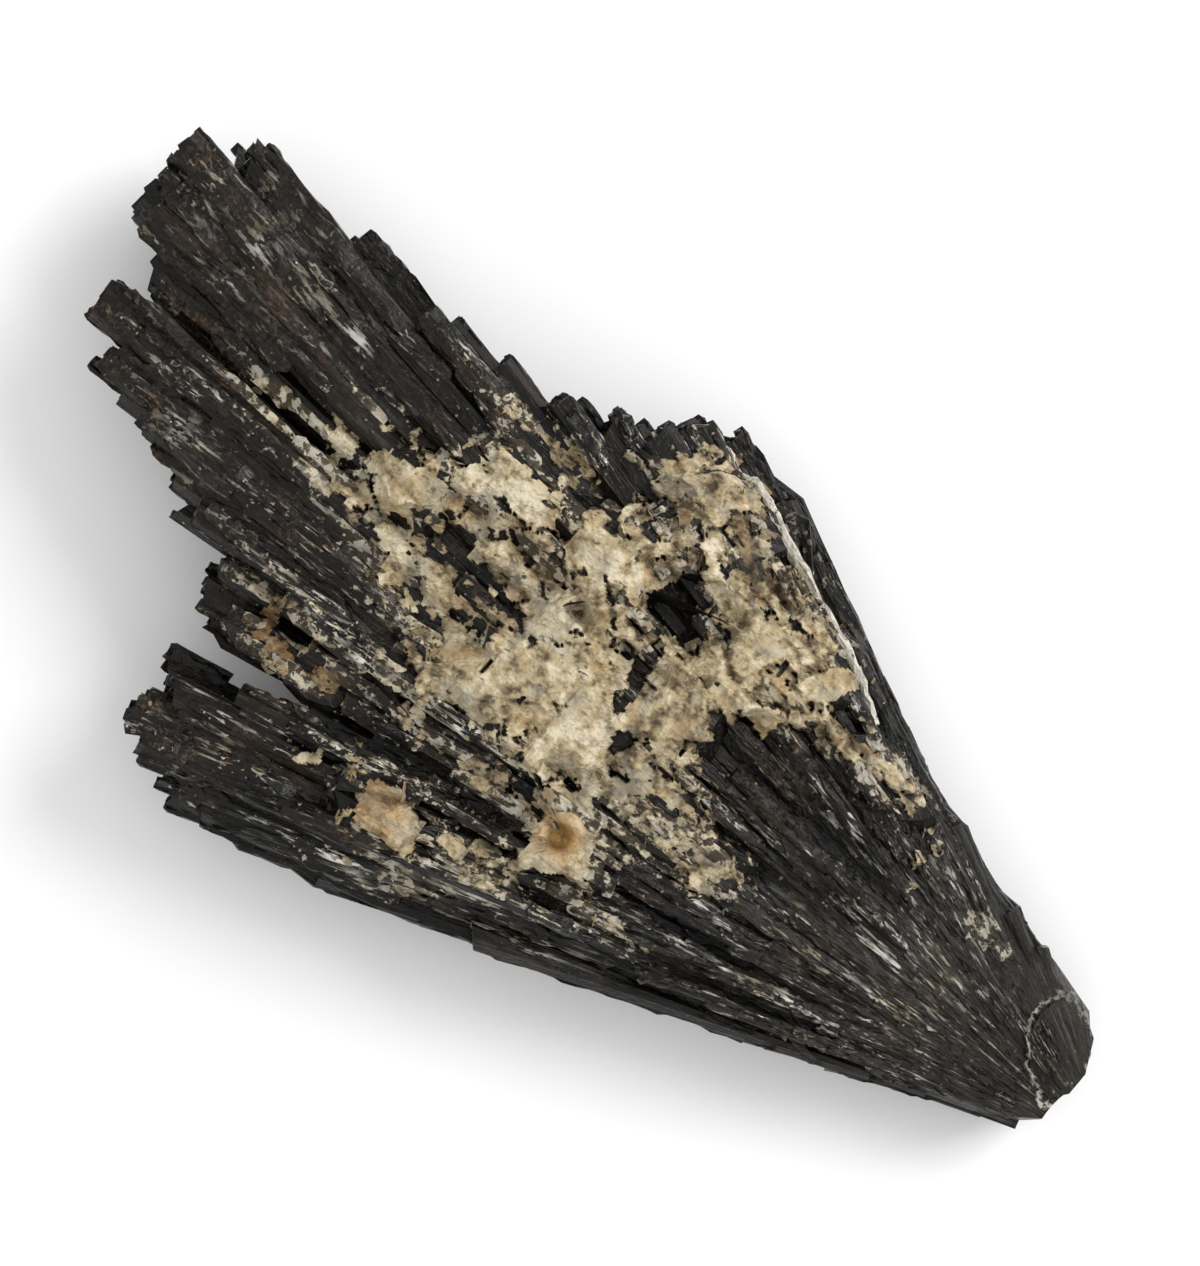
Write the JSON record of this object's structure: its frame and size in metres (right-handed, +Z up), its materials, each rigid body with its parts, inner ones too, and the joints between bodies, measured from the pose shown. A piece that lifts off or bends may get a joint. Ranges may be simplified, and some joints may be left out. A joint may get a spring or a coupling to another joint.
{
  "type": "black kyanite crystal fan",
  "caption": "Fan-shaped spray of dark bladed kyanite crystals, with patches of pale matrix crust on its crown and a blunt broken tip.",
  "frame": {"origin": "centre of the bottom of the bounding box, on the surface that the fan lies on", "axes": "+X from the broken tip to the longest finger, +Y across the fan towards the lobe beyond the notch, +Z up out of the crusted side"},
  "size_m": [0.0644, 0.033, 0.0114],
  "materials": {
    "kyanite_fan": "satin near-black striated stone with silvery grey sheen along its ridges and patches of granular tan and cream crust"
  },
  "bodies": {
    "root": {"kyanite_fan": "kyanite_fan"}
  },
  "joints": []
}
